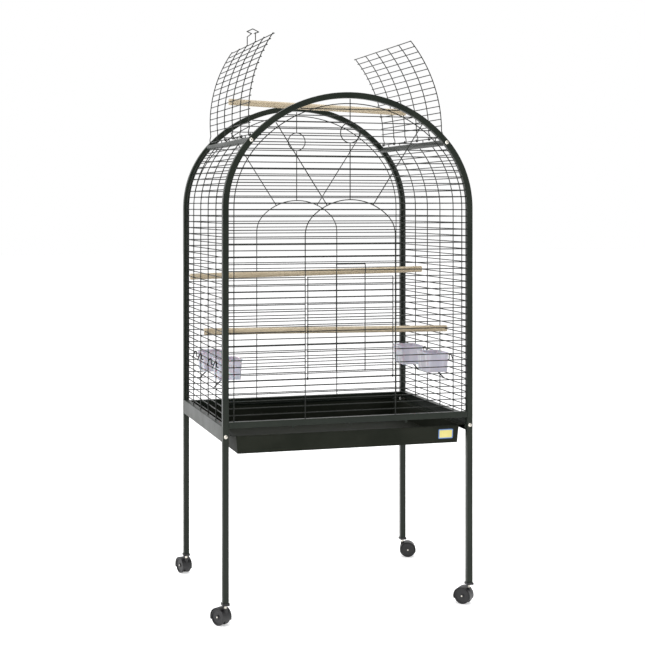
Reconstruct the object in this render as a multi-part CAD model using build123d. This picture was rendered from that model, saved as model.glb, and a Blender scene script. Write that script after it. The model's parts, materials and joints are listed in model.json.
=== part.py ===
from build123d import *
import os
from math import acos, atan2, ceil, cos, degrees, radians, sin, sqrt

# Arched bird cage on four legs with casters, with an opening play top.
# Origin: on the floor under the middle of the cage. +X is the keeper's right, -Y the front, +Z up.
# All sizes are in millimetres.

# ---------------------------------------------------------------- driving sizes
frame_width = 765.0          # between the centre lines of the left and right posts
frame_depth = 591.0          # between the centre lines of the front and rear posts
tube = 18.0                  # square tube, outside
tube_wall = 1.2
tube_corner = 2.0
leg_foot = 59.5              # floor to the underside of a leg plug
spring_line = 1215.0         # height where the posts start to curve
arch_rise = 337.0            # from there to the crown's centre line
arch_side_radius = 300.0     # bend at each shoulder of the arch
bar_radius = 9.0             # round roof bar, outside

bar_pitch = 20.0             # between neighbouring grille wires
wire = 3.0                   # grille wire, diameter
heavy_wire = 3.0             # outline, arch, door edge, hinge and hook wire, diameter
wire_gap = 0.03              # between crossing wires of one grille
side_uprights = 6            # upright wires in each side grille
side_upright_inset = 6.5     # outermost of them to the posts
outline_inset = 25.0         # from the tube's centre line to the outline wire
weld_gap = 0.1               # wire end to the tube it is welded to
hang_gap = 0.3               # running room around a wire that carries something loose

side_rail_top = 578.0
side_rail_height = 44.0
front_rail_rise = 5.0        # middle of the front rail above the side rails' top
rear_rail_drop = 12.0        # middle of the rear rail below it
rail_sheet = 1.5
end_plate = 2.0
base_bolt_rise = 16.0        # base bolts above the side rails' bottom
bolt_radius = 3.0
bolt_hole_clearance = 0.15
bolt_head_radius = 6.0
bolt_head_height = 3.4
socket_width = 3.5           # hexagon socket in a bolt head
nut_width = 10.0
nut_height = 5.0
thread_clearance = 0.02
insert_length = 24.0
tube_insert_clearance = 0.15
spigot_length = 66.0

first_row_rise = 12.0        # lowest grille wire above the side rails
hinge_row = 6                # grille row that carries the front door
header_row = 22              # grille row above the front door
arch_half = 141.5            # door arch: centre to its upright wires
arch_spring = 1134.0
arch_top = 1240.0
arch_bend = 80.0
ring_height = 1440.0         # ring in the grille's middle line
ring_radius = 30.0
ray_top_x = 231.0            # slanting wires, where they meet the frame
ray_foot_x = 72.0            # and where they meet the door arch

door_edge_gap = 5.0          # from the door's edge wires to the arch wires
door_inner_x = 45.0          # inner upright wires of the door
latch_bulge = 5.0
latch_rise = 18.0            # latch crossbar above the header row

tray_flange = 12.0           # side flanges that ride on the runners
tray_flange_gap = 11.5       # from them to the side rails' inner face
tray_sheet = 1.2
tray_top_rise = 17.0         # tray's top edge above the side rails' bottom
tray_height = 53.0
tray_draft = 5.0
tray_corner = 9.0
tray_front_step = 4.5        # pan's front, ahead of the front posts' middle
tray_rear_gap = 12.5         # pan's rear, ahead of the rear posts' middle
runner_gap = 0.4
tab_width = 7.0
tab_height = 8.0
tab_spacing = 177.0

flap_lift = 4.5              # closed flap above the arch's centre line
flap_edge_gap = 20.0         # closed flap's free edge to the cage's middle
flap_root_step = 4.8         # where a flap's curve begins, degrees past the roof bar
flap_side_gap = 13.5         # flap's sides to the arches
flap_neck = 10.0             # straight part of each wire next to the hinge
flap_neck_lean = 50.0        # its slope on the closed flap, degrees off the vertical
flap_wire_end = 3.0          # cross wires past the outermost long wires
left_flap_open = 52.5        # degrees from closed to where it stands
right_flap_open = 46.5
hinge_in = 3.0               # hinge wire from the roof bar's middle, towards the cage's middle
hinge_up = 17.0              # and above it
hook_stem = 26.0
hook_neck = 4.0
hook_barb = 19.0
hook_barb_height = 36.0
hook_height = 45.0
hook_offset = 5.0            # middle of the hook's head past its stems

perch_radius = 10.0
perch_slot = 3.4
perch_slot_depth = 8.5
perch_overhang = 4.0         # perch end beyond the wire in its slot
perch_chamfer = 1.0
lower_perch_row = 12
upper_perch_left_row = 20
upper_perch_right_row = 21
top_perch_cell = 10          # cross wire that holds the top perch, counted from the flap's free edge
top_perch_room = 7.0         # free end short of the right flap
top_perch_fall = 22.0        # free end lower than the held end

bowl_length = 100.0
bowl_depth = 78.0
bowl_height = 61.0
bowl_wall = 2.5
bowl_corner = 9.0
bowl_draft = 4.0
bowl_rim = 2.0
bowl_rim_height = 3.0
bowl_hook_row = 8            # grille row that the bowl hooks hang on
bowl_rise = 7.0              # bowl's rim above that row
hook_drop = 15.0             # hook's foot below the row it hangs on
hook_bend = 2.5
hook_reach = 8.0
hook_tail = 18.0
hook_tail_out = 7.0
foot_radius = 2.0
foot_reach = 24.0
foot_rows = 4                # rows between the hooks and the foot

plug_flange = 22.0
plug_flange_height = 7.0
plug_insert = 33.0
plug_chamfer = 1.2
stem_radius = 4.0
stem_clearance = 0.05
stem_grip = 30.0             # stem length inside the plug
stem_seat = 21.0             # stem length inside the caster
caster_wheel_radius = 25.0
caster_wheel_width = 9.0
caster_wheel_edge = 2.5
caster_dish = 2.0
caster_rim = 5.0
caster_hub = 6.5
caster_trail = 18.0
caster_web = 13.0
caster_web_bottom = 6.0
caster_axle_radius = 2.5
caster_clearance = 0.05
caster_hood_gap = 0.8
caster_hood_wall = 1.5
caster_hood_bottom = 16.0
caster_side_gap = 0.6
caster_socket_wall = 2.4
caster_headings = {"front_left": 123.0, "front_right": 137.0, "rear_left": 107.0, "rear_right": -18.0}

# ---------------------------------------------------------------- sizes that follow
half_width = frame_width / 2
half_depth = frame_depth / 2
half_tube = tube / 2
bore = tube - 2 * tube_wall
insert = bore - 2 * tube_insert_clearance
insert_corner = tube_corner - tube_wall
wire_r = wire / 2
heavy_r = heavy_wire / 2
heavy_cross = wire_r + heavy_r + wire_gap
hang_radius = wire_r + hang_gap + heavy_r
loop_radius = heavy_r + hang_gap + heavy_r
clear_width = half_width - half_tube
clear_depth = half_depth - half_tube
side_rail_bottom = side_rail_top - side_rail_height
leg_joint = side_rail_bottom
base_bolt_height = side_rail_bottom + base_bolt_rise
front_rail_middle = side_rail_top + front_rail_rise
rear_rail_middle = side_rail_top - rear_rail_drop
first_row = side_rail_top + first_row_rise
side_upright_pitch = 2 * (clear_depth - side_upright_inset) / (side_uprights - 1)
flap_upright_pitch = 2 * (clear_depth - flap_side_gap - flap_wire_end) / (side_uprights - 1)
tray_half = clear_width - tray_flange_gap - tray_flange
tray_front = half_depth + tray_front_step
tray_rear = half_depth - tray_rear_gap
tray_top = side_rail_bottom + tray_top_rise
bowl_middle = side_upright_pitch
crown_top = spring_line + arch_rise
runner_top = tray_top - tray_sheet - runner_gap
LOW = (Align.CENTER, Align.CENTER, Align.MIN)
CORNERS = {"front_left": (-1, -1), "front_right": (1, -1), "rear_left": (-1, 1), "rear_right": (1, 1)}
SIDES = {"left": -1, "right": 1}
parts = {}


def row(number):
    """Height of a grille row, counted from the lowest."""
    return first_row + number * bar_pitch


def rod(start, end, radius):
    """Straight round wire between two points."""
    start = Vector(*start)
    end = Vector(*end)
    length = (end - start).length
    return Plane(origin=start, z_dir=end - start) * Cylinder(radius, length, align=LOW)


def bent_rod(edges, radius):
    """Round wire along joined edges, with a ball where it turns sharply."""
    runs = [[edges[0]]]
    for edge in edges[1:]:
        if (runs[-1][-1] % 1 - edge % 0).length < 0.001:
            runs[-1].append(edge)
        else:
            runs.append([edge])
    body = None
    for run in runs:
        path = Wire(run)
        piece = sweep(Plane(origin=path @ 0, z_dir=path % 0) * Circle(radius), path=path)
        body = piece if body is None else body + Pos(path @ 0) * Sphere(radius) + piece
    return body


def bent_line(points, radius):
    """Round wire through points, straight between them."""
    return bent_rod([Line(a, b) for a, b in zip(points, points[1:])], radius)


def hollow_tube(start, end, radius, wall):
    return rod(start, end, radius) - rod(start, end, radius - wall)


def group(name, *solids):
    """Keep the solids of one named sub-part."""
    flat = [solid for shape in solids for solid in shape.solids()]
    parts[name] = flat[0] if len(flat) == 1 else Compound(children=flat)


# ---------------------------------------------------------------- arch geometry
class Arch:
    """Posts that rise to a spring line and join over a crown, drawn with one radius per shoulder and one on top."""

    def __init__(self, half, spring, rise, side):
        self.half, self.spring, self.side = half, spring, side
        self.crown = (half**2 + rise**2 - 2 * half * side) / (2 * (rise - side))
        self.middle = spring + rise - self.crown
        self.turn = atan2(spring - self.middle, half - side)
        self.joint_x = self.crown * cos(self.turn)
        self.joint_z = self.middle + self.crown * sin(self.turn)

    def inset(self, amount):
        """The same arch, moved inwards."""
        rise = self.middle + self.crown - self.spring
        return Arch(self.half - amount, self.spring, rise - amount, self.side - amount)

    def reach(self, height):
        """Half the clear width at a height."""
        if height <= self.spring:
            return self.half
        if height <= self.joint_z:
            return self.half - self.side + sqrt(self.side**2 - (height - self.spring) ** 2)
        return sqrt(max(self.crown**2 - (height - self.middle) ** 2, 0.0))

    def shoulder(self, angle, sign):
        """Point on a shoulder, from 0 at the spring line."""
        x = self.half - self.side + self.side * cos(angle)
        return sign * x, self.spring + self.side * sin(angle)

    def edges(self, y, foot):
        """The arch's line at depth y, from its left foot to its right foot."""
        half_turn = self.shoulder(self.turn / 2, -1)
        joint = (-self.joint_x, y, self.joint_z)
        left = [
            Line((-self.half, y, foot), (-self.half, y, self.spring)),
            ThreePointArc((-self.half, y, self.spring), (half_turn[0], y, half_turn[1]), joint),
        ]
        top = ThreePointArc(
            (-self.joint_x, y, self.joint_z), (0, y, self.middle + self.crown), (self.joint_x, y, self.joint_z)
        )
        half_turn = self.shoulder(self.turn / 2, 1)
        joint = (self.joint_x, y, self.joint_z)
        down = ThreePointArc(joint, (half_turn[0], y, half_turn[1]), (self.half, y, self.spring))
        return left + [top, down, Line((self.half, y, self.spring), (self.half, y, foot))]


frame_arch = Arch(half_width, spring_line, arch_rise, arch_side_radius)
inner_arch = frame_arch.inset(half_tube)
outline_arch = frame_arch.inset(outline_inset)
door_arch = Arch(arch_half, arch_spring, arch_top - arch_spring, arch_bend)
bar_x = frame_arch.joint_x
bar_z = frame_arch.joint_z


# ---------------------------------------------------------------- tubes
def tube_section(size, corner):
    return RectangleRounded(size, size, corner)


def straight_tube(start, end, across):
    """Square tube between two points, with one side facing `across`."""
    length = (Vector(*end) - Vector(*start)).length
    plane = Plane(origin=start, x_dir=across, z_dir=Vector(*end) - Vector(*start))
    outside = extrude(plane * tube_section(tube, tube_corner), length)
    inside = extrude(plane * tube_section(bore, tube_corner - tube_wall), length)
    return outside - inside


def bolt_hole(x, z, y_from, y_to):
    return rod((x, y_from, z), (x, y_to, z), bolt_radius + bolt_hole_clearance)


def arch_frame(y):
    """Two posts and the arch over them, bent from one square tube and drilled for its bolts."""
    path = Wire(frame_arch.edges(y, leg_joint))
    start = Plane(origin=path @ 0, x_dir=(0, 1, 0), z_dir=path % 0)
    frame = sweep(start * tube_section(tube, tube_corner), path=path)
    frame -= sweep(start * tube_section(bore, tube_corner - tube_wall), path=path)
    for sign in SIDES.values():
        frame -= bolt_hole(sign * half_width, base_bolt_height, y - tube, y + tube)
        frame -= bolt_hole(sign * bar_x, bar_z, y - tube, y + tube)
    return frame


def make_frames():
    group("front_arch_frame", arch_frame(-half_depth))
    group("rear_arch_frame", arch_frame(half_depth))
    reach = clear_width - weld_gap
    for name, y, z in (("front_rail", -half_depth, front_rail_middle),
                       ("rear_rail", half_depth, rear_rail_middle)):
        group(name, straight_tube((-reach, y, z), (reach, y, z), (0, 1, 0)))
    for name, sign in SIDES.items():
        end = clear_depth - weld_gap
        bar = hollow_tube((sign * bar_x, -end, bar_z), (sign * bar_x, end, bar_z), bar_radius, tube_wall)
        group(f"{name}_roof_bar", bar)


def leg_spigot(x, y):
    """Square insert that lines a leg up with its post, cross-drilled for the base bolt."""
    body = extrude(Pos(x, y, leg_joint) * RectangleRounded(insert, insert, insert_corner), spigot_length / 2, both=True)
    return body - bolt_hole(x, base_bolt_height, y - tube, y + tube)


def make_legs():
    spigots = []
    for name, (sx, sy) in CORNERS.items():
        x = sx * half_width
        y = sy * half_depth
        top = leg_joint - weld_gap
        leg = straight_tube((x, y, leg_foot + plug_flange_height), (x, y, top), (1, 0, 0))
        group(f"leg_{name}", leg)
        spigots.append(leg_spigot(x, y))
        plug = Pos(x, y, leg_foot) * Box(plug_flange, plug_flange, plug_flange_height, align=LOW)
        plug = chamfer(plug.edges().group_by(Axis.Z)[0], plug_chamfer)
        seat = Pos(x, y, leg_foot + plug_flange_height)
        plug += extrude(seat * RectangleRounded(insert, insert, insert_corner), plug_insert)
        socket = Cylinder(stem_radius + stem_clearance, stem_grip + 2 * weld_gap, align=LOW)
        group(f"leg_plug_{name}", plug - Pos(x, y, leg_foot) * socket)
    group("leg_spigots", *spigots)


# ---------------------------------------------------------------- side rails and bolts
def side_rail(sign):
    """Folded channel, open inwards, with drilled end plates against the posts."""
    reach = clear_depth - weld_gap
    outer = sign * (half_width + half_tube)
    solid = Pos(outer - sign * half_tube, 0, side_rail_bottom)
    solid = solid * Box(tube, 2 * reach, side_rail_height, align=LOW)
    hollow_width = tube - rail_sheet
    hollow = Pos(outer - sign * (rail_sheet + hollow_width / 2 + 0.5), 0, side_rail_bottom + rail_sheet)
    hollow = hollow * Box(hollow_width + 1, 2 * (reach - end_plate), side_rail_height - 2 * rail_sheet, align=LOW)
    return solid - hollow - bolt_hole(sign * half_width, base_bolt_height, -half_depth, half_depth)


def tray_runner(sign):
    """Angle on the side rail's inside that the tray's flange slides on."""
    web = half_width + half_tube - rail_sheet - weld_gap
    inner = tray_half + runner_gap
    length = 2 * (clear_depth - end_plate - 2 * nut_height)
    shelf = Pos(sign * (web + inner) / 2, 0, runner_top - rail_sheet)
    leg = Pos(sign * (web - rail_sheet / 2), 0, side_rail_bottom + rail_sheet + weld_gap)
    leg_height = runner_top - side_rail_bottom - rail_sheet - weld_gap
    return shelf * Box(web - inner, length, rail_sheet, align=LOW) + leg * Box(
        rail_sheet, length, leg_height, align=LOW
    )


def dome_bolt(x, z, face, sign, length):
    """Dome-headed bolt with a hexagon socket, driven inwards through a frame's outer face."""
    cap_radius = (bolt_head_radius**2 + bolt_head_height**2) / (2 * bolt_head_height)
    ball = Pos(x, face + sign * (bolt_head_height - cap_radius), z) * Sphere(cap_radius)
    keep = Pos(x, face + sign * (bolt_head_height + weld_gap) / 2, z)
    head = ball & keep * Box(3 * bolt_head_radius, bolt_head_height - weld_gap, 3 * bolt_head_radius)
    shank = rod((x, face + sign * bolt_head_height / 2, z), (x, face - sign * length, z), bolt_radius)
    mouth = Plane(origin=(x, face + sign * bolt_head_height, z), z_dir=(0, -sign, 0))
    socket = extrude(mouth * RegularPolygon(socket_width / 2, 6, major_radius=False), bolt_head_height * 0.7)
    return head + shank - socket


def drilled(body, x, z, y_from, y_to):
    """A body with a threaded hole through it."""
    return body - rod((x, y_from, z), (x, y_to, z), bolt_radius + thread_clearance)


def make_rails_and_bolts():
    bolts, nuts, roof_bolts, inserts = [], [], [], []
    bolt_length = tube + end_plate + nut_height + 1
    for name, sign in SIDES.items():
        group(f"{name}_side_rail", side_rail(sign))
        group(f"{name}_tray_runner", tray_runner(sign))
        for end in (-1, 1):
            face = end * (half_depth + half_tube)
            post_x = sign * half_width
            seat = end * (clear_depth - 2 * weld_gap - end_plate)
            bolts.append(dome_bolt(post_x, base_bolt_height, face, end, bolt_length))
            hexagon = Plane(origin=(post_x, seat, base_bolt_height), z_dir=(0, -end, 0))
            nut = extrude(hexagon * RegularPolygon(nut_width / 2, 6, major_radius=False), nut_height)
            nuts.append(drilled(nut, post_x, base_bolt_height, seat + end, seat - end * (nut_height + 1)))
            mouth = end * (clear_depth - weld_gap)
            deep = mouth - end * insert_length
            roof_bolts.append(dome_bolt(sign * bar_x, bar_z, face, end, tube + insert_length - nut_height))
            plug_radius = bar_radius - tube_wall - tube_insert_clearance
            plug = rod((sign * bar_x, mouth, bar_z), (sign * bar_x, deep, bar_z), plug_radius)
            inserts.append(drilled(plug, sign * bar_x, bar_z, mouth + end, deep - end))
    group("base_bolts", *bolts)
    group("base_nuts", *nuts)
    group("roof_bolts", *roof_bolts)
    group("roof_bar_inserts", *inserts)


# ---------------------------------------------------------------- end grilles
def end_rows(y, lowest, door):
    """Level wires from post to post, cut away where the door hangs."""
    wires = []
    number = ceil((lowest - first_row) / bar_pitch)
    while row(number) < crown_top - outline_inset - wire:
        z = row(number)
        reach = inner_arch.reach(z + wire_r) - weld_gap
        if door and hinge_row < number < header_row:
            stop = arch_half - heavy_r
            wires.append(rod((-reach, y, z), (-stop, y, z), wire_r))
            wires.append(rod((stop, y, z), (reach, y, z), wire_r))
        else:
            wires.append(rod((-reach, y, z), (reach, y, z), wire_r))
        number += 1
    return wires


def ray(y, sign):
    """Slanting wire from the door arch to the frame."""
    top_z = inner_arch.middle + sqrt(inner_arch.crown**2 - ray_top_x**2)
    foot_z = door_arch.middle + sqrt(door_arch.crown**2 - ray_foot_x**2)
    run = Vector(ray_top_x - ray_foot_x, 0, top_z - foot_z).normalized()
    top = Vector(ray_top_x, 0, top_z) - run * (heavy_r + weld_gap + 0.5)
    return rod((sign * ray_foot_x, y, foot_z), (sign * top.X, y, top.Z), heavy_r)


def end_grille(sign, rail_middle, door):
    """Front or rear grille: rows, an outline wire, the door arch, a middle line with its ring, and two rays."""
    y = sign * half_depth
    outer = y - heavy_cross
    inner = y + heavy_cross
    foot = rail_middle + half_tube + weld_gap
    outline = bent_rod(outline_arch.edges(outer, foot), heavy_r)
    arch = bent_rod(door_arch.edges(outer, foot), heavy_r)
    ring = Plane(origin=(0, inner, ring_height), z_dir=(0, 1, 0)) * Torus(ring_radius, heavy_r)
    gap = heavy_r + weld_gap
    top = inner_arch.middle + inner_arch.crown - gap
    stem = rod((0, inner, ring_height + ring_radius + gap), (0, inner, top), heavy_r)
    tail = rod((0, inner, arch_top), (0, inner, ring_height - ring_radius - gap), heavy_r)
    rows = end_rows(y, foot + bar_pitch / 2, door)
    return rows + [outline, arch, ring, stem, tail, ray(inner, -1), ray(inner, 1)]


def make_end_grilles():
    group("front_grille", *end_grille(-1, front_rail_middle, door=True))
    group("rear_grille", *end_grille(1, rear_rail_middle, door=False))


# ---------------------------------------------------------------- side grilles
def side_point(distance, inset):
    """Point on a side grille, a distance up from its rail and inset from the frame's centre line."""
    straight = spring_line - side_rail_top
    if distance <= straight:
        return half_width - inset, side_rail_top + distance
    angle = (distance - straight) / arch_side_radius
    x = half_width - arch_side_radius + (arch_side_radius - inset) * cos(angle)
    return x, spring_line + (arch_side_radius - inset) * sin(angle)


def side_grille(sign):
    """Uprights that follow the posts from the side rail to the roof bar, with level wires inside them."""
    wires = []
    length = spring_line - side_rail_top + arch_side_radius * frame_arch.turn
    top_angle = frame_arch.turn - (bar_radius + weld_gap) / arch_side_radius
    for number in range(side_uprights):
        y = (number - (side_uprights - 1) / 2) * side_upright_pitch
        line = Line((sign * half_width, y, side_rail_top + weld_gap), (sign * half_width, y, spring_line))
        middle = frame_arch.shoulder(top_angle / 2, sign)
        end = frame_arch.shoulder(top_angle, sign)
        curve = ThreePointArc((sign * half_width, y, spring_line), (middle[0], y, middle[1]), (end[0], y, end[1]))
        wires.append(bent_rod([line, curve], heavy_r))
    reach = clear_depth - weld_gap
    distance = first_row - side_rail_top
    while distance < length - bar_radius - wire:
        x, z = side_point(distance, heavy_cross)
        wires.append(rod((sign * x, -reach, z), (sign * x, reach, z), wire_r))
        distance += bar_pitch
    return wires


def make_side_grilles():
    for name, sign in SIDES.items():
        group(f"{name}_side_grille", *side_grille(sign))


# ---------------------------------------------------------------- front door
def make_front_door():
    """Drop-down door: its edge wires curl round a grille row, and its middle wires end in a spring latch."""
    axis_y = -half_depth
    face = axis_y - hang_radius
    hinge_z = row(hinge_row)
    edge_x = arch_half - door_edge_gap - heavy_wire
    top_z = row(header_row - 1)
    wires = []
    for x in (-edge_x, edge_x):
        stop = radians(45)
        line = Line((x, face, top_z + heavy_r), (x, face, hinge_z))
        low = (x, axis_y + hang_radius * cos(radians(292)), hinge_z + hang_radius * sin(radians(292)))
        end = (x, axis_y + hang_radius * cos(stop), hinge_z + hang_radius * sin(stop))
        wires.append(bent_rod([line, ThreePointArc((x, face, hinge_z), low, end)], heavy_r))
    for number in range(hinge_row + 1, header_row):
        thick = heavy_r if number in (hinge_row + 1, header_row - 1) else wire_r
        back = face + heavy_r + thick + wire_gap
        reach = edge_x + heavy_r
        wires.append(rod((-reach, back, row(number)), (reach, back, row(number)), thick))
    points = [
        (-door_inner_x, face, row(hinge_row + 1) - heavy_r),
        (-door_inner_x, face, row(header_row) - bar_pitch / 2),
        (-door_inner_x, face - latch_bulge, row(header_row) + wire),
        (-door_inner_x, face, row(header_row) + latch_rise),
    ]
    points += [(-x, y, z) for x, y, z in reversed(points)]
    wires.append(bent_line(points, heavy_r))
    group("front_door", *wires)


# ---------------------------------------------------------------- pull-out tray
def tray_block(shrink, floor):
    """Drafted block as wide as the pan less `shrink` all round, down to `floor` above the pan's bottom."""
    width = 2 * (tray_half - shrink)
    length = tray_front + tray_rear - 2 * shrink
    mouth = Plane(origin=(0, (tray_rear - tray_front) / 2, tray_top), z_dir=(0, 0, -1))
    taper = degrees(atan2(tray_draft, tray_height))
    return extrude(mouth * RectangleRounded(width, length, tray_corner - shrink), tray_height - floor, taper=taper)


def make_tray():
    pan = tray_block(0, 0) - tray_block(tray_sheet, tray_sheet)
    length = tray_front + tray_rear - 2 * tray_corner
    for sign in SIDES.values():
        middle = Pos(sign * (tray_half - tray_sheet / 2 + tray_flange / 2), (tray_rear - tray_front) / 2)
        flange = Box(tray_flange + tray_sheet, length, tray_sheet, align=LOW)
        pan += middle * Pos(0, 0, tray_top - tray_sheet) * flange
    group("tray", pan)


def make_rail_tabs():
    """Small tabs under the front rail."""
    top = front_rail_middle - half_tube - weld_gap
    tab = Box(tab_width, rail_sheet, tab_height, align=LOW)
    group("front_rail_tabs", *[Pos(x, -half_depth, top - tab_height) * tab for x in (-tab_spacing, 0, tab_spacing)])


# ---------------------------------------------------------------- roof flaps
flap_radius = frame_arch.crown + flap_lift
flap_edge = acos(flap_edge_gap / flap_radius)
flap_root = frame_arch.turn + radians(flap_root_step)
hinge_x = bar_x - hinge_in
hinge_z = bar_z + hinge_up
flap_reach = (side_uprights - 1) / 2 * flap_upright_pitch + flap_wire_end


def flap_point(angle, offset):
    """Point on the closed right flap: across the cage and up."""
    radius = flap_radius + offset
    return radius * cos(angle), frame_arch.middle + radius * sin(angle)


def cross_wire_angles():
    """Places of a flap's cross wires, one pitch apart from the free edge back to the root."""
    step = bar_pitch / flap_radius
    count = int((flap_edge - flap_root) / step) + 1
    return [flap_edge - number * step for number in range(count)]


def opened(shape, sign, angle):
    """A closed flap's shape, turned about its hinge wire to where it stands open."""
    return shape.rotate(Axis((sign * hinge_x, 0, hinge_z), (0, sign, 0)), angle)


def around_hinge(sign, y, angle):
    """Point of a flap wire's loop round the hinge wire."""
    x = hinge_x + loop_radius * cos(angle)
    return sign * x, y, hinge_z + loop_radius * sin(angle)


def flap_long_wire(sign, y):
    """Long wire of a closed flap: a loop round the hinge wire, a straight neck, and the curve."""
    lean = radians(flap_neck_lean)
    out = radians(90) - lean
    neck_x = hinge_x + loop_radius * cos(out) - flap_neck * sin(lean)
    neck_z = hinge_z + loop_radius * sin(out) + flap_neck * cos(lean)
    places = [flap_point(angle, heavy_cross) for angle in (flap_root, (flap_root + flap_edge) / 2, flap_edge)]
    start, middle, end = [(sign * x, y, z) for x, z in places]
    neck = (sign * neck_x, y, neck_z)
    loop = [around_hinge(sign, y, out - radians(turn)) for turn in (260, 130, 0)]
    return bent_rod([ThreePointArc(*loop), Line(loop[2], neck), Line(neck, start), ThreePointArc(start, middle, end)],
                    heavy_r)


def roof_flap(sign, angle):
    """Long wires over cross wires."""
    half = (side_uprights - 1) / 2
    wires = [flap_long_wire(sign, (number - half) * flap_upright_pitch) for number in range(side_uprights)]
    for place in cross_wire_angles():
        x, z = flap_point(place, 0)
        wires.append(rod((sign * x, -flap_reach, z), (sign * x, flap_reach, z), wire_r))
    return [opened(shape, sign, angle) for shape in wires]


def hinge_wire(sign):
    """Wire that a flap turns on, with the standoffs that carry it over the roof bar."""
    solids = [rod((sign * hinge_x, -flap_reach, hinge_z), (sign * hinge_x, flap_reach, hinge_z), heavy_r)]
    low = bar_z + bar_radius
    for number in range(side_uprights - 1):
        y = (number - side_uprights / 2 + 1) * flap_upright_pitch
        solids.append(rod((sign * hinge_x, y, low), (sign * hinge_x, y, hinge_z - heavy_r - wire_gap), heavy_r))
    return solids


def roof_hook():
    """Hook on the left flap's free edge: two stems from the middle wires that join in a barbed head."""
    x, z = flap_point(flap_edge, heavy_cross)
    edge = opened(Pos(-x, 0, z) * Sphere(wire_r), -1, left_flap_open).center()
    side = flap_upright_pitch / 2
    stem = [(0, side, heavy_r), (0, side, hook_stem), (hook_offset - hook_neck, 0, hook_stem + hook_neck)]
    head = [(hook_offset - hook_barb, 0, hook_barb_height), (hook_offset, 0, hook_height)]
    points = stem + head + [(hook_offset + hook_barb, 0, hook_barb_height)]
    points += [(hook_offset + hook_neck, 0, hook_stem + hook_neck), (0, -side, hook_stem), (0, -side, heavy_r)]
    return bent_line([edge + Vector(*point) for point in points], wire_r)


def make_roof():
    for name, sign, angle in (("left", -1, left_flap_open), ("right", 1, right_flap_open)):
        group(f"{name}_roof_flap", *roof_flap(sign, angle))
        group(f"{name}_hinge_wire", *hinge_wire(sign))
    group("roof_hook", roof_hook())


# ---------------------------------------------------------------- perches
def perch(start, end):
    """Dowel between two wires, with a level slot in each end."""
    run = (end - start).normalized()
    first = start - run * perch_overhang
    last = end + run * perch_overhang
    dowel = Cylinder(perch_radius, (last - first).length, align=LOW)
    dowel = Plane(origin=first, z_dir=run) * chamfer(dowel.edges().filter_by(GeomType.CIRCLE), perch_chamfer)
    for tip, inwards in ((first, run), (last, run * -1)):
        level = Plane(origin=tip, x_dir=(0, 1, 0), z_dir=inwards)
        dowel -= level * Box(4 * perch_radius, perch_slot, 2 * perch_slot_depth)
    return dowel


def cross_wire_place(sign, angle, place):
    """Middle of a cross wire on an opened flap."""
    x, z = flap_point(place, 0)
    return opened(Pos(sign * x, 0, z) * Sphere(wire_r), sign, angle).center()


def top_perch():
    """Perch hung on the left flap, its free end just short of the right flap's nearest cross wire."""
    places = cross_wire_angles()
    held = cross_wire_place(-1, left_flap_open, places[top_perch_cell])
    height = held.Z - top_perch_fall
    others = [cross_wire_place(1, right_flap_open, place) for place in places]
    nearest = min(others, key=lambda place: abs(place.Z - height))
    reach = nearest.X - wire_r - top_perch_room - perch_overhang
    return perch(held, Vector(reach, 0, height))


def make_perches():
    wire_x = half_width - heavy_cross
    left = Vector(-wire_x, 0, row(lower_perch_row))
    group("lower_perch", perch(left, Vector(wire_x, -side_upright_pitch, row(lower_perch_row))))
    left = Vector(-wire_x, 2 * side_upright_pitch, row(upper_perch_left_row))
    group("upper_perch", perch(left, Vector(wire_x, side_upright_pitch, row(upper_perch_right_row))))
    group("top_perch", top_perch())


# ---------------------------------------------------------------- bowls
bowl_back = half_width - heavy_cross - hang_radius - heavy_r - hang_gap
bowl_top = row(bowl_hook_row) + bowl_rise
hook_foot = row(bowl_hook_row) - hook_drop


def hook_places(middle):
    reach = bowl_length / 2 - bowl_corner - bowl_rim
    return middle - reach, middle + reach


def bowl(sign, middle):
    """Drafted cup with rounded corners and a turned rim, drilled for its two hooks."""
    taper = degrees(atan2(bowl_draft, bowl_height))
    mouth = Plane(origin=(sign * (bowl_back - bowl_depth / 2), middle, bowl_top), z_dir=(0, 0, -1))
    width = bowl_depth - 2 * bowl_rim
    length = bowl_length - 2 * bowl_rim
    body = extrude(mouth * RectangleRounded(width, length, bowl_corner), bowl_height, taper=taper)
    body += extrude(mouth * RectangleRounded(bowl_depth, bowl_length, bowl_corner + bowl_rim), bowl_rim_height)
    hollow = RectangleRounded(width - 2 * bowl_wall, length - 2 * bowl_wall, bowl_corner - bowl_wall)
    body -= extrude(mouth * hollow, bowl_height - bowl_wall, taper=taper)
    for y in hook_places(middle):
        start = (sign * (bowl_back + heavy_wire), y, hook_foot)
        end = (sign * (bowl_back - 2 * hook_reach), y, hook_foot)
        body -= rod(start, end, heavy_r + hang_gap)
    return body


def bowl_hook(sign, y):
    """Wire hook: a foot through the bowl's back, a leg, a bend over the grille row, and a tail outside."""
    wire_x = half_width - heavy_cross
    wire_z = row(bowl_hook_row)
    leg_x = wire_x - hang_radius
    tip = (sign * (wire_x + hang_radius), y, wire_z)
    shoulder = (sign * leg_x, y, wire_z)
    elbow = (sign * leg_x, y, hook_foot + hook_bend)
    turn = hook_bend * (1 - cos(radians(45)))
    foot = (sign * (leg_x - hook_bend), y, hook_foot)
    return bent_rod(
        [
            Line((sign * (leg_x - hook_bend - hook_reach), y, hook_foot), foot),
            ThreePointArc(foot, (sign * (leg_x - turn), y, hook_foot + turn), elbow),
            Line(elbow, shoulder),
            ThreePointArc(shoulder, (sign * wire_x, y, wire_z + hang_radius), tip),
            Line(tip, (tip[0] + sign * hook_tail_out, y, wire_z - hook_tail)),
        ],
        heavy_r,
    )


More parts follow.
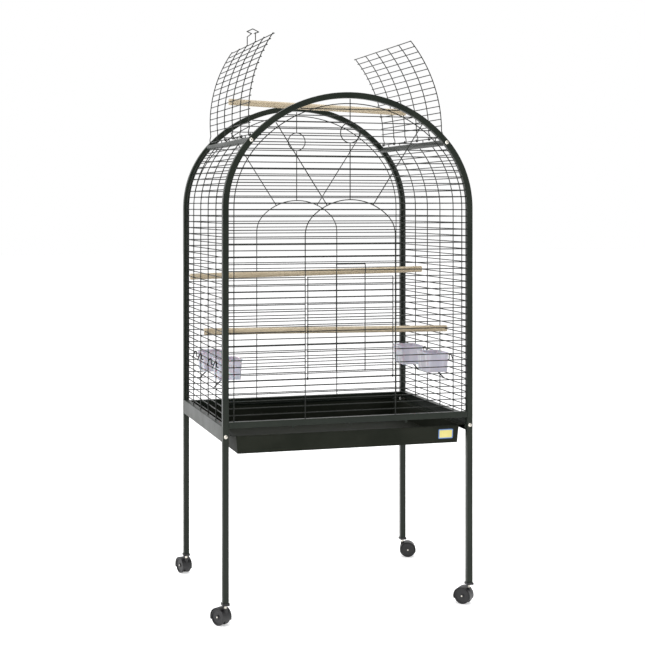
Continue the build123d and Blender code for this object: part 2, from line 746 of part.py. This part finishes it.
def bowl_foot(sign, middle):
    """Prop under the bowl that leans against the grille below."""
    under = bowl_top - bowl_height - hang_gap
    seat = half_width - heavy_cross - wire_r - hang_gap - foot_radius
    shoe = rod((sign * (seat - foot_reach), middle, under - 2 * foot_radius),
               (sign * (seat - foot_reach), middle, under), 2 * foot_radius)
    strut = rod((sign * (seat - foot_reach), middle, under - foot_radius),
                (sign * seat, middle, row(bowl_hook_row - foot_rows)), foot_radius)
    return (shoe + strut) - Pos(sign * (seat - foot_reach), middle, under) * Box(
        4 * foot_reach, 4 * foot_reach, foot_reach, align=LOW
    )


def make_bowls():
    for side, sign in SIDES.items():
        for place, way in (("front", -1), ("rear", 1)):
            middle = way * bowl_middle
            group(f"bowl_{side}_{place}", bowl(sign, middle))
            hooks = [bowl_hook(sign, y) for y in hook_places(middle)]
            group(f"bowl_hanger_{side}_{place}", *hooks, bowl_foot(sign, middle))


# ---------------------------------------------------------------- casters
caster_room = caster_wheel_radius + caster_hood_gap
caster_outer = caster_room + caster_hood_wall
socket_top = caster_wheel_radius + caster_outer - caster_hood_wall


def caster_plane(name):
    """Frame of one caster: x along its trail, y along its axle, on the floor under the stem."""
    sx, sy = CORNERS[name]
    heading = radians(caster_headings[name])
    origin = (sx * half_width, sy * half_depth, 0)
    return Plane(origin=origin, x_dir=(cos(heading), sin(heading), 0), z_dir=(0, 0, 1))


def axle_rod(reach, radius):
    """Cylinder about a caster's axle, as far as `reach` on both sides."""
    return rod((caster_trail, -reach, caster_wheel_radius), (caster_trail, reach, caster_wheel_radius), radius)


def caster_hood():
    """Web between the wheels, a shell over them, and the socket that takes the stem."""
    reach = caster_web / 2 + caster_side_gap + caster_wheel_width + 1
    floor = Box(8 * caster_outer, 8 * caster_outer, caster_outer, align=(Align.CENTER, Align.CENTER, Align.MAX))
    shell = axle_rod(reach, caster_outer) - axle_rod(2 * reach, caster_room) - Pos(0, 0, caster_hood_bottom) * floor
    web = axle_rod(caster_web / 2, caster_outer) - Pos(0, 0, caster_web_bottom) * floor
    socket = rod((0, 0, caster_wheel_radius), (0, 0, socket_top), stem_radius + caster_socket_wall)
    bore_floor = socket_top - stem_seat - caster_clearance
    stem_hole = rod((0, 0, bore_floor), (0, 0, 2 * socket_top), stem_radius + caster_clearance)
    return shell + web + socket - axle_rod(2 * reach, caster_axle_radius + thread_clearance) - stem_hole


def caster_wheel(side):
    """Wheel with a rounded tread and a dished outer face."""
    start = side * (caster_web / 2 + caster_side_gap)
    plane = Plane(origin=(caster_trail, start, caster_wheel_radius), z_dir=(0, side, 0))
    disc = Cylinder(caster_wheel_radius, caster_wheel_width, align=LOW)
    disc = fillet(disc.edges().filter_by(GeomType.CIRCLE), caster_wheel_edge)
    ring = Cylinder(caster_wheel_radius - caster_rim, caster_wheel_width, align=LOW)
    ring -= Cylinder(caster_hub, caster_wheel_width, align=LOW)
    bore_hole = Cylinder(caster_axle_radius + caster_clearance, 3 * caster_wheel_width)
    return plane * (disc - Pos(0, 0, caster_wheel_width - caster_dish) * ring - bore_hole)


def make_casters():
    stems = []
    half_track = caster_web / 2 + caster_side_gap + caster_wheel_width
    for name in CORNERS:
        plane = caster_plane(name)
        group(f"caster_hood_{name}", plane * caster_hood())
        group(f"caster_wheels_{name}", plane * caster_wheel(-1), plane * caster_wheel(1))
        group(f"caster_axle_{name}", plane * axle_rod(half_track, caster_axle_radius))
        stems.append(plane * rod((0, 0, socket_top - stem_seat), (0, 0, leg_foot + stem_grip), stem_radius))
    group("caster_stems", *stems)


make_frames()
make_legs()
make_rails_and_bolts()
make_end_grilles()
make_side_grilles()
make_front_door()
make_tray()
make_rail_tabs()
make_roof()
make_perches()
make_bowls()
make_casters()

os.makedirs("parts", exist_ok=True)
for part_name, shape in parts.items():
    export_step(shape, f"parts/{part_name}.step")
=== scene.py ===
import json
import math
import bmesh
import bpy
import numpy as np
from mathutils import Matrix, Vector


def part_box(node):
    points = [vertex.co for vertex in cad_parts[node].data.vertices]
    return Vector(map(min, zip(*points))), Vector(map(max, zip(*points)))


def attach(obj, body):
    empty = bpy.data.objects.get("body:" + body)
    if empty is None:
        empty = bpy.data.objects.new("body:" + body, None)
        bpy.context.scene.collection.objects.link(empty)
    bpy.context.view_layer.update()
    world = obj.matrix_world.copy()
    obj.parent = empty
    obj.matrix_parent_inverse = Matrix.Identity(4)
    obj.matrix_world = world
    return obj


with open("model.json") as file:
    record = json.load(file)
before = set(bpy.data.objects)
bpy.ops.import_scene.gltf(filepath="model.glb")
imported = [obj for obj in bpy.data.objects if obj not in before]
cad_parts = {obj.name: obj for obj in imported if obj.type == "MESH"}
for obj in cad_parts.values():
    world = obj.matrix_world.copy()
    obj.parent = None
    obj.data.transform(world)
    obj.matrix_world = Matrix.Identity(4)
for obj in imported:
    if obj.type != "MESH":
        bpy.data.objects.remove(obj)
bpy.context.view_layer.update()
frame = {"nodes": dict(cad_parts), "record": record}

NODES = frame["nodes"]
RECORD = frame["record"]
BODY_OF = {node: body for body, nodes in RECORD["behaviour"]["bodies"].items() for node in nodes}

FLOOR_REACH = 30.0
FLOOR_GLOW = 0.42
WELD_HALF_WIDTH = 0.0023
WELD_HALF_DEPTH = 0.0011
ROD_LENGTH = 0.1                # a straight wire is longer than this
ROD_THICKNESS = 0.004           # and thinner than this
TOUCHING = 0.0005
# sizes of the dark strip of painted shade under the rear rail
SHADE_STRIP_SHEET = 0.0006
SHADE_STRIP_DROP = 0.017
SHADE_STRIP_END = 0.003
SHADE_STRIP_LAP = 0.001
HEM_RADIUS = 0.0014
HEM_END = 0.020
TRAY_DRAFT = 0.005
LABEL_X = 0.305
LABEL_HEIGHT = 0.526
LABEL_BACK_SIZE = (0.047, 0.0004, 0.029)
LABEL_FRONT_SIZE = (0.041, 0.0007, 0.023)
LABEL_BEVEL = 0.0002

# ---------------------------------------------------------------- camera
CAMERA_PLACE = (-1.2495, -4.1476, 1.2193)
CAMERA_TURN = math.radians(-16.79)
CAMERA_LENS = 75.6
CAMERA_SHIFT = -0.1797


def set_camera():
    data = bpy.data.cameras.new("studio_camera")
    data.sensor_width = 36.0
    data.lens = CAMERA_LENS
    data.shift_y = CAMERA_SHIFT
    data.clip_end = 60.0
    camera = bpy.data.objects.new("studio_camera", data)
    camera.location = CAMERA_PLACE
    camera.rotation_euler = (math.radians(90), 0, CAMERA_TURN)
    bpy.context.scene.collection.objects.link(camera)
    bpy.context.scene.camera = camera


# ---------------------------------------------------------------- studio
def area_light(name, place, target, size, power, colour=(1.0, 1.0, 1.0)):
    data = bpy.data.lights.new(name, "AREA")
    data.shape = "RECTANGLE"
    data.size, data.size_y = size
    data.energy = power
    data.color = colour
    light = bpy.data.objects.new(name, data)
    light.location = place
    aim = Vector(target) - Vector(place)
    light.rotation_euler = aim.to_track_quat("-Z", "Y").to_euler()
    bpy.context.scene.collection.objects.link(light)


def set_studio():
    world = bpy.data.worlds.new("studio")
    world.use_nodes = True
    tree = world.node_tree
    split = add(tree, "ShaderNodeSeparateXYZ")
    link(tree, add(tree, "ShaderNodeTexCoord").outputs["Generated"], split.inputs[0])
    behind = ramp(tree, split.outputs["Y"], -0.55, 0.55)
    sky = mix_colour(tree, behind, (0.42, 0.42, 0.43), (1.0, 1.0, 1.0))
    link(tree, sky, tree.nodes["Background"].inputs["Color"])
    bpy.context.scene.world = world
    bpy.context.scene.view_settings.view_transform = "Standard"
    area_light("key", (-3.4, -2.2, 2.6), (0, 0, 1.0), (1.2, 2.6), 90)
    area_light("fill", (3.2, -2.8, 1.8), (0, 0, 0.9), (0.9, 2.4), 30)
    area_light("overhead", (0, 0.4, 4.6), (0, 0, 1.0), (4.0, 4.0), 130)
    mesh = bpy.data.meshes.new("floor")
    corners = [(x * FLOOR_REACH, y * FLOOR_REACH, 0) for x, y in ((-1, -1), (1, -1), (1, 1), (-1, 1))]
    mesh.from_pydata(corners, [], [(0, 1, 2, 3)])
    floor = bpy.data.objects.new("floor", mesh)
    bpy.context.scene.collection.objects.link(floor)
    material, shader = plain_material("floor_white", (0.95, 0.95, 0.95), 0.9)
    shader.inputs["Emission Color"].default_value = (1.0, 1.0, 1.0, 1.0)
    shader.inputs["Emission Strength"].default_value = FLOOR_GLOW
    mesh.materials.append(material)


# ---------------------------------------------------------------- shader groups
def link(tree, output, target):
    tree.links.new(output, target)


def make_group(name, inputs, outputs):
    """Empty shader group with its sockets: (name, kind, default) going in, (name, kind) coming out."""
    tree = bpy.data.node_groups.new(name, "ShaderNodeTree")
    for label, kind, default in inputs:
        socket = tree.interface.new_socket(label, in_out="INPUT", socket_type=kind)
        socket.default_value = default
    for label, kind in outputs:
        tree.interface.new_socket(label, in_out="OUTPUT", socket_type=kind)
    return tree, tree.nodes.new("NodeGroupInput"), tree.nodes.new("NodeGroupOutput")


def add(tree, kind, **settings):
    """New node with its properties and unlinked input values set by name."""
    node = tree.nodes.new(kind)
    for key, value in settings.items():
        if hasattr(node, key):
            setattr(node, key, value)
        else:
            node.inputs[key.replace("_", " ")].default_value = value
    return node


def maths(tree, operation, first, second=0.5, clamp=False):
    node = tree.nodes.new("ShaderNodeMath")
    node.operation = operation
    node.use_clamp = clamp
    for socket, value in zip(node.inputs, (first, second)):
        if isinstance(value, (int, float)):
            socket.default_value = value
        else:
            link(tree, value, socket)
    return node.outputs[0]


def noise_value(tree, vector, scale, detail=2.0, roughness=0.5):
    node = add(tree, "ShaderNodeTexNoise", Detail=detail, Roughness=roughness)
    if isinstance(scale, (int, float)):
        node.inputs["Scale"].default_value = scale
    else:
        link(tree, scale, node.inputs["Scale"])
    link(tree, vector, node.inputs["Vector"])
    return node.outputs["Fac"]


def ramp(tree, value, low, high):
    """Value stretched from low..high to 0..1, smoothly."""
    node = tree.nodes.new("ShaderNodeMapRange")
    node.interpolation_type = "SMOOTHSTEP"
    node.inputs["From Min"].default_value = low
    node.inputs["From Max"].default_value = high
    link(tree, value, node.inputs["Value"])
    return node.outputs["Result"]


def mix_colour(tree, fac, first, second):
    node = tree.nodes.new("ShaderNodeMix")
    node.data_type = "RGBA"
    if isinstance(fac, (int, float)):
        node.inputs["Factor"].default_value = fac
    else:
        link(tree, fac, node.inputs["Factor"])
    for socket, value in ((node.inputs["A"], first), (node.inputs["B"], second)):
        if isinstance(value, tuple):
            socket.default_value = (*value, 1.0)[:4]
        else:
            link(tree, value, socket)
    return node.outputs["Result"]


def powder_coat_group():
    """Pebbled skin and slow tone drift of a powder coating, plus a painted top light that lightens up-facing
    faces in patches.
    """
    tree, source, sink = make_group(
        "Powder coat skin",
        [
            ("Grain", "NodeSocketFloat", 700.0),
            ("Drift", "NodeSocketFloat", 9.0),
            ("Dust", "NodeSocketFloat", 0.3),
        ],
        [("Height", "NodeSocketFloat"), ("Tone", "NodeSocketFloat"), ("Dust", "NodeSocketFloat")],
    )
    place = add(tree, "ShaderNodeTexCoord").outputs["Object"]
    fine = noise_value(tree, place, source.outputs["Grain"], 3.0, 0.6)
    drift = noise_value(tree, place, source.outputs["Drift"], 4.0, 0.6)
    split = add(tree, "ShaderNodeSeparateXYZ")
    link(tree, add(tree, "ShaderNodeNewGeometry").outputs["Normal"], split.inputs[0])
    # painted top light: faces that point up are lightened in patches, standing in for light from above
    up = ramp(tree, split.outputs["Z"], 0.2, 1.0)
    patchy = ramp(tree, noise_value(tree, place, 60.0, 5.0, 0.7), 0.35, 0.8)
    top_light = maths(tree, "MULTIPLY", maths(tree, "MULTIPLY", up, patchy), source.outputs["Dust"])
    link(tree, fine, sink.inputs["Height"])
    link(tree, ramp(tree, drift, 0.3, 0.7), sink.inputs["Tone"])
    link(tree, top_light, sink.inputs["Dust"])
    return tree


def moulding_group():
    """Faint spark-eroded texture and flow marks of moulded plastic."""
    tree, source, sink = make_group(
        "Moulded plastic skin",
        [("Grain", "NodeSocketFloat", 1200.0), ("Flow", "NodeSocketFloat", 25.0)],
        [("Height", "NodeSocketFloat"), ("Tone", "NodeSocketFloat")],
    )
    place = add(tree, "ShaderNodeTexCoord").outputs["Object"]
    stretch = add(tree, "ShaderNodeMapping")
    stretch.inputs["Scale"].default_value = (1.0, 1.0, 0.25)
    link(tree, place, stretch.inputs["Vector"])
    flow = noise_value(tree, stretch.outputs["Vector"], source.outputs["Flow"], 3.0, 0.5)
    grain = noise_value(tree, place, source.outputs["Grain"], 2.0, 0.6)
    link(tree, grain, sink.inputs["Height"])
    link(tree, ramp(tree, flow, 0.3, 0.75), sink.inputs["Tone"])
    return tree


def use_group(tree, group, **values):
    node = tree.nodes.new("ShaderNodeGroup")
    node.node_tree = group
    for key, value in values.items():
        node.inputs[key].default_value = value
    return node


# ---------------------------------------------------------------- materials
def plain_material(name, colour, roughness, metallic=0.0):
    material = bpy.data.materials.new(name)
    material.use_nodes = True
    shader = material.node_tree.nodes["Principled BSDF"]
    shader.inputs["Base Color"].default_value = (*colour, 1.0)
    shader.inputs["Roughness"].default_value = roughness
    shader.inputs["Metallic"].default_value = metallic
    return material, shader


def add_bump(tree, shader, height, strength, distance):
    bump = add(tree, "ShaderNodeBump", Strength=strength, Distance=distance)
    link(tree, height, bump.inputs["Height"])
    link(tree, bump.outputs["Normal"], shader.inputs["Normal"])


def powder_coat(name, dark, light, roughness, top_light, specular, grain=700.0):
    """Coated steel: two close tones, a pebbled skin and a painted top light on what faces up."""
    material, shader = plain_material(name, dark, roughness)
    tree = material.node_tree
    skin = use_group(tree, POWDER_SKIN, Grain=grain, Dust=top_light)
    tone = mix_colour(tree, skin.outputs["Tone"], dark, light)
    # painted top light: the tone is mixed towards a paler grey on up-facing faces
    link(tree, mix_colour(tree, skin.outputs["Dust"], tone, (0.20, 0.21, 0.19)), shader.inputs["Base Color"])
    spread = maths(tree, "MULTIPLY", skin.outputs["Tone"], 0.10)
    link(tree, maths(tree, "ADD", spread, roughness), shader.inputs["Roughness"])
    shader.inputs["Specular IOR Level"].default_value = specular
    add_bump(tree, shader, skin.outputs["Height"], 0.35, 0.0003)
    return material


def moulded(name, dark, light, roughness, subsurface=0.0, grain=1200.0):
    material, shader = plain_material(name, dark, roughness)
    tree = material.node_tree
    skin = use_group(tree, MOULDED_SKIN, Grain=grain)
    link(tree, mix_colour(tree, skin.outputs["Tone"], dark, light), shader.inputs["Base Color"])
    spread = maths(tree, "MULTIPLY", skin.outputs["Tone"], 0.12)
    link(tree, maths(tree, "ADD", spread, roughness), shader.inputs["Roughness"])
    shader.inputs["Subsurface Weight"].default_value = subsurface
    shader.inputs["Subsurface Scale"].default_value = 0.01
    add_bump(tree, shader, skin.outputs["Height"], 0.2, 0.0002)
    return material


def plated_steel(name, colour, roughness):
    """Bright plated steel with fine turning marks and a slight stain."""
    material, shader = plain_material(name, colour, roughness, 1.0)
    tree = material.node_tree
    place = add(tree, "ShaderNodeTexCoord").outputs["Object"]
    stain = ramp(tree, noise_value(tree, place, 180.0, 4.0, 0.6), 0.35, 0.75)
    darker = tuple(0.72 * value for value in colour)
    link(tree, mix_colour(tree, stain, colour, darker), shader.inputs["Base Color"])
    link(tree, maths(tree, "ADD", maths(tree, "MULTIPLY", stain, 0.2), roughness), shader.inputs["Roughness"])
    add_bump(tree, shader, noise_value(tree, place, 2500.0, 2.0, 0.6), 0.25, 0.0002)
    return material


def dowel_wood():
    """Pale sanded dowel: long grain along the perch, darker growth lines and short pores."""
    material, shader = plain_material("perch_beech", (0.62, 0.46, 0.29), 0.55)
    tree = material.node_tree
    place = add(tree, "ShaderNodeTexCoord").outputs["Object"]
    along = add(tree, "ShaderNodeMapping")
    along.inputs["Scale"].default_value = (2.5, 60.0, 60.0)
    link(tree, place, along.inputs["Vector"])
    grain = ramp(tree, noise_value(tree, along.outputs["Vector"], 2.2, 6.0, 0.65), 0.3, 0.72)
    pores_place = add(tree, "ShaderNodeMapping")
    pores_place.inputs["Scale"].default_value = (60.0, 900.0, 900.0)
    link(tree, place, pores_place.inputs["Vector"])
    pores = ramp(tree, noise_value(tree, pores_place.outputs["Vector"], 1.0, 2.0, 0.5), 0.58, 0.75)
    blotch = ramp(tree, noise_value(tree, place, 7.0, 3.0, 0.5), 0.3, 0.7)
    tone = mix_colour(tree, grain, (0.50, 0.42, 0.29), (0.38, 0.30, 0.19))
    tone = mix_colour(tree, maths(tree, "MULTIPLY", blotch, 0.35), tone, (0.60, 0.52, 0.38))
    tone = mix_colour(tree, maths(tree, "MULTIPLY", pores, 0.5), tone, (0.24, 0.18, 0.11))
    link(tree, tone, shader.inputs["Base Color"])
    link(tree, maths(tree, "ADD", maths(tree, "MULTIPLY", grain, 0.15), 0.5), shader.inputs["Roughness"])
    add_bump(tree, shader, maths(tree, "SUBTRACT", grain, pores), 0.3, 0.0004)
    return material


POWDER_SKIN = powder_coat_group()
MOULDED_SKIN = moulding_group()
FRAME_COAT = powder_coat("frame_powder_coat", (0.006, 0.010, 0.006), (0.011, 0.016, 0.010), 0.30, 0.04, 0.26)
WIRE_COAT = powder_coat("wire_powder_coat", (0.004, 0.006, 0.004), (0.009, 0.011, 0.008), 0.34, 0.02, 0.3,
                        900.0)
RAIL_COAT = powder_coat("rail_powder_coat", (0.018, 0.023, 0.019), (0.027, 0.032, 0.027), 0.36, 0.12, 0.35)
TRAY_COAT = powder_coat("tray_enamel", (0.011, 0.013, 0.009), (0.017, 0.019, 0.014), 0.5, 0.0, 0.05, 450.0)
MATERIALS = {
    "coated_frame": FRAME_COAT,
    "coated_wire": WIRE_COAT,
    "coated_rail": RAIL_COAT,
    "coated_tray": TRAY_COAT,
    "bright_steel": plated_steel("plated_steel", (0.70, 0.67, 0.60), 0.24),
    "bare_steel": plated_steel("drawn_steel", (0.40, 0.40, 0.40), 0.42),
    "black_plastic": moulded("black_moulding", (0.007, 0.007, 0.008), (0.013, 0.013, 0.014), 0.4),
    "bowl_plastic": moulded("lilac_moulding", (0.50, 0.50, 0.58), (0.64, 0.64, 0.72), 0.2, 0.2, 500.0),
    "perch_wood": dowel_wood(),
}
LABEL_FINISH = moulded("printed_label", (0.62, 0.54, 0.16), (0.72, 0.64, 0.24), 0.35)
LABEL_EDGE = moulded("label_edge", (0.10, 0.20, 0.46), (0.14, 0.26, 0.54), 0.35)


def dress_nodes():
    """Give every CAD node the finish of its material slot."""
    for entry in RECORD["subparts"]:
        node = NODES[entry["node"]]
        for slot in node.material_slots:
            slot.material = MATERIALS[entry["material_slot"]]
        if not node.material_slots:
            node.data.materials.append(MATERIALS[entry["material_slot"]])


# ---------------------------------------------------------------- added pieces
def new_piece(name, mesh, body, material, smooth=True, place=None):
    """Object for a finished mesh, put in place and carried by a body."""
    piece = bpy.data.objects.new(name, mesh)
    bpy.context.scene.collection.objects.link(piece)
    if place is not None:
        piece.matrix_world = place
    mesh.materials.append(material)
    for face in mesh.polygons:
        face.use_smooth = smooth
    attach(piece, body)
    return piece


def strands(node):
    """Edges of a node's separate surfaces, as arrays of start and end points."""
    mesh = NODES[node].data
    points = np.empty(len(mesh.vertices) * 3, np.float32)
    mesh.vertices.foreach_get("co", points)
    points = points.reshape(-1, 3)
    edges = np.empty(len(mesh.edges) * 2, np.int64)
    mesh.edges.foreach_get("vertices", edges)
    first, second = edges.reshape(-1, 2).T
    label = np.arange(len(points))
    while True:
        before = label.copy()
        low = np.minimum(label[first], label[second])
        np.minimum.at(label, first, low)
        np.minimum.at(label, second, low)
        label = label[label]
        if (label == before).all():
            break
    owner = label[first]
    order = np.argsort(owner, kind="stable")
    ends = np.stack((points[first[order]], points[second[order]]), axis=1)
    return np.split(ends, np.flatnonzero(np.diff(owner[order])) + 1)


def nearest_place(ends, middle):
    """Offset from a point to the nearest of some flat edges."""
    start = ends[:, 0]
    run = ends[:, 1] - start
    length = np.maximum((run ** 2).sum(1), 1e-12)
    share = np.clip(((middle - start) * run).sum(1) / length, 0.0, 1.0)
    away = start + run * share[:, None] - middle
    reach = np.hypot(away[:, 0], away[:, 1])
    best = int(reach.argmin())
    return away[best], float(reach[best])


def crossings(node, axis):
    """Where wires along an axis touch those that cross it, as (place, direction to the other wire)."""
    across = [place for place in range(3) if place != axis]
    rods, others = [], {}
    for ends in strands(node):
        low, high = ends.min((0, 1)), ends.max((0, 1))
        size = high - low
        if size[axis] > ROD_LENGTH and size[across].max() < ROD_THICKNESS:
            rods.append(((low + high)[across] / 2, size[across].max() / 2, low[axis], high[axis]))
        elif size[axis] < ROD_THICKNESS:
            others.setdefault(round(float((low + high)[axis]) * 500), []).append(ends)
    found = []
    for group in others.values():
        ends = np.concatenate(group)
        level = float(ends[:, :, axis].mean())
        flat = ends[:, :, across]
        for middle, radius, start, end in rods:
            away, reach = nearest_place(flat, middle)
            if start < level < end and reach < radius + TOUCHING:
                place = np.zeros(3)
                side = np.zeros(3)
                side[across] = away / reach
                place[across] = middle + side[across] * radius
                place[axis] = level
                found.append((Vector(place), Vector(side)))
    return found


def weld_beads(node, axis):
    """Small flattened bead at every crossing of a node's wires."""
    shape = bmesh.new()
    bead_shape = Matrix.Diagonal((WELD_HALF_WIDTH, WELD_HALF_WIDTH, WELD_HALF_DEPTH, 1.0))
    for place, side in crossings(node, axis):
        turn = side.to_track_quat("Z", "Y").to_matrix().to_4x4()
        bead = Matrix.Translation(place) @ turn @ bead_shape
        bmesh.ops.create_icosphere(shape, subdivisions=1, radius=1.0, matrix=bead)
    mesh = bpy.data.meshes.new(node + "_welds")
    shape.to_mesh(mesh)
    shape.free()
    new_piece(node + "_welds", mesh, BODY_OF[node], MATERIALS["coated_wire"])


def slab(name, size, corner, bevel):
    """Rounded plate lying in x and z, its back face at y = 0."""
    width, thick, height = size
    outline = []
    for turn, (x, z) in enumerate(((1, 1), (-1, 1), (-1, -1), (1, -1))):
        for step in range(5):
            angle = math.radians(90 * turn + 22.5 * step)
            outline.append((x * (width / 2 - corner) + corner * math.cos(angle),
                            z * (height / 2 - corner) + corner * math.sin(angle)))
    count = len(outline)
    shape = bmesh.new()
    back = [shape.verts.new((x, 0, z)) for x, z in outline]
    middle = [shape.verts.new((x, bevel - thick, z)) for x, z in outline]
    scale = 1 - 2 * bevel / height
    front = [shape.verts.new((x * (1 - 2 * bevel / width), -thick, z * scale)) for x, z in outline]
    for ring, following in ((back, middle), (middle, front)):
        for place in range(count):
            after = (place + 1) % count
            shape.faces.new((ring[place], ring[after], following[after], following[place]))
    shape.faces.new(front)
    shape.faces.new(back[::-1])
    bmesh.ops.recalc_face_normals(shape, faces=shape.faces)
    mesh = bpy.data.meshes.new(name)
    shape.to_mesh(mesh)
    shape.free()
    return mesh


def block(name, low, high):
    """Box between two corners, used for the dark strip of painted shade."""
    shape = bmesh.new()
    size = Vector(high) - Vector(low)
    middle = (Vector(high) + Vector(low)) / 2
    bmesh.ops.create_cube(shape, size=1.0, matrix=Matrix.Translation(middle) @ Matrix.Diagonal((*size, 1.0)))
    mesh = bpy.data.meshes.new(name)
    shape.to_mesh(mesh)
    shape.free()
    return mesh


def bar(name, start, end, radius):
    """Round bar between two points."""
    start, end = Vector(start), Vector(end)
    turn = (end - start).to_track_quat("Z", "Y").to_matrix().to_4x4()
    place = Matrix.Translation((start + end) / 2) @ turn
    shape = bmesh.new()
    bmesh.ops.create_cone(shape, cap_ends=True, segments=16, radius1=radius, radius2=radius,
                          depth=(end - start).length, matrix=place)
    mesh = bpy.data.meshes.new(name)
    shape.to_mesh(mesh)
    shape.free()
    return mesh


def shade_rear_slot():
    """Dark strip under the rear rail: painted shade that fills the slot above the tray's back."""
    low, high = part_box("rear_rail")
    middle = (low.y + high.y) / 2
    start = (low.x + SHADE_STRIP_END, middle - SHADE_STRIP_SHEET, low.z - SHADE_STRIP_DROP)
    end = (high.x - SHADE_STRIP_END, middle + SHADE_STRIP_SHEET, low.z + SHADE_STRIP_LAP)
    # painted shade: a dark frame-coated strip stands in for the shadow in the slot above the tray's back
    strip = block("rear_shade_strip", start, end)
    new_piece("rear_shade_strip", strip, "cage", MATERIALS["coated_frame"], smooth=False)


def finish_tray():
    """Rolled hem on the tray's front edge and a blank label near its right end."""
    low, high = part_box("tray")
    hem_z = high.z - HEM_RADIUS
    hem_start = (low.x + HEM_END, low.y, hem_z)
    hem_end = (high.x - HEM_END, low.y, hem_z)
    hem = bar("tray_front_hem", hem_start, hem_end, HEM_RADIUS)
    new_piece("tray_front_hem", hem, "tray", MATERIALS["coated_tray"])
    drop = (high.z - LABEL_HEIGHT) / (high.z - low.z)
    lean = math.atan2(TRAY_DRAFT, high.z - low.z)
    spot = (LABEL_X, low.y + TRAY_DRAFT * drop, LABEL_HEIGHT)
    place = Matrix.Translation(spot) @ Matrix.Rotation(lean, 4, "X")
    back = slab("tray_label_back", LABEL_BACK_SIZE, 0.003, LABEL_BEVEL)
    new_piece("tray_label_back", back, "tray", LABEL_EDGE, False, place)
    front = slab("tray_label", LABEL_FRONT_SIZE, 0.002, LABEL_BEVEL)
    new_piece("tray_label", front, "tray", LABEL_FINISH, False, place)


# ---------------------------------------------------------------- scene
set_camera()
set_studio()
dress_nodes()
shade_rear_slot()
finish_tray()
for wired in ("left_roof_flap", "right_roof_flap", "left_side_grille", "right_side_grille"):
    weld_beads(wired, 1)
for wired in ("front_grille", "rear_grille", "front_door"):
    weld_beads(wired, 0)
